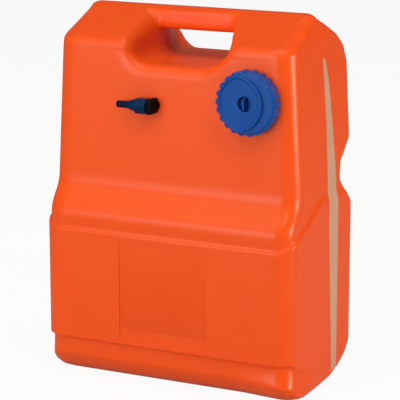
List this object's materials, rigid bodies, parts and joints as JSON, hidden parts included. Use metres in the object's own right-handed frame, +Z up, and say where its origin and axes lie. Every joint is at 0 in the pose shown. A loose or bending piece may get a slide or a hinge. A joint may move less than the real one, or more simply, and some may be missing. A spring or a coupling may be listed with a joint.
{
  "type": "portable fuel tank",
  "caption": "Upright moulded fuel can with a handle bar, toothed screw cap with rotary vent, hose outlet and pick-up tube, and a side level strip.",
  "frame": {"origin": "middle of the footprint, on the ground plane", "axes": "+Z up, front with the cap and outlet towards -Y, +X to the side with the level strip"},
  "size_m": [0.33, 0.206, 0.452],
  "materials": {
    "tank_plastic": "semi-gloss blow-moulded polyethylene, orange",
    "strip_plastic": "see-through level strip, pale pink-orange",
    "cap_plastic": "glossy blue",
    "vent_plastic": "glossy blue",
    "nut_plastic": "dark blue, satin",
    "tail_plastic": "black, satin",
    "elbow_plastic": "black, satin",
    "insert_brass": "turned",
    "seal_rubber": "matt",
    "seal_plastic": "natural, matt",
    "tube_plastic": "black hose, matt",
    "strainer_plastic": "natural, matt",
    "mesh_steel": "fine woven mesh",
    "washer_steel": "plain",
    "clip_steel": "spring steel"
  },
  "bodies": {
    "tank": {"tank_shell": "tank_plastic", "level_strip": "strip_plastic", "wall_insert": "insert_brass", "fitting_washer": "seal_rubber", "elbow_body": "elbow_plastic", "dip_tube": "tube_plastic", "tube_clip": "clip_steel", "strainer_cage": "strainer_plastic", "strainer_screen": "mesh_steel"},
    "gasket": {"cap_gasket": "seal_rubber"},
    "seal": {"seal_plate": "seal_plastic"},
    "cap": {"cap_shell": "cap_plastic", "vent_seal": "seal_rubber"},
    "vent": {"vent_knob": "vent_plastic", "vent_washer": "washer_steel", "vent_clip": "clip_steel"},
    "tail": {"hose_tail": "tail_plastic", "tail_seal": "seal_rubber"},
    "nut": {"union_nut": "nut_plastic"}
  },
  "joints": [
    {"name": "cap_lift_off", "type": "slide", "parent": "tank", "child": "gasket", "axis": [0, -1, 0], "range_m": [0, 0.08]},
    {"name": "cap_rise", "type": "slide", "parent": "gasket", "child": "seal", "axis": [0, -1, 0], "range_m": [0, 0.0068]},
    {"name": "cap_turn", "type": "hinge", "parent": "seal", "child": "cap", "pos_m": [0.1045, -0.081, 0.358], "axis": [0, -1, 0], "range_deg": [0, 540]},
    {"name": "vent_turn", "type": "hinge", "parent": "cap", "child": "vent", "pos_m": [0.1045, -0.081, 0.358], "axis": [0, -1, 0], "range_deg": [0, 90]},
    {"name": "tail_draw", "type": "slide", "parent": "tank", "child": "tail", "axis": [-1, 0, 0], "range_m": [0, 0.0046]},
    {"name": "nut_turn", "type": "hinge", "parent": "tail", "child": "nut", "pos_m": [-0.023, -0.092, 0.3443], "axis": [-1, 0, 0], "range_deg": [0, 1080]}
  ],
  "couplings": [
    {"joint": "cap_rise", "follows": "cap_turn", "m_per_rad": 0.0007162},
    {"joint": "tail_draw", "follows": "nut_turn", "m_per_rad": 0.00023873}
  ]
}
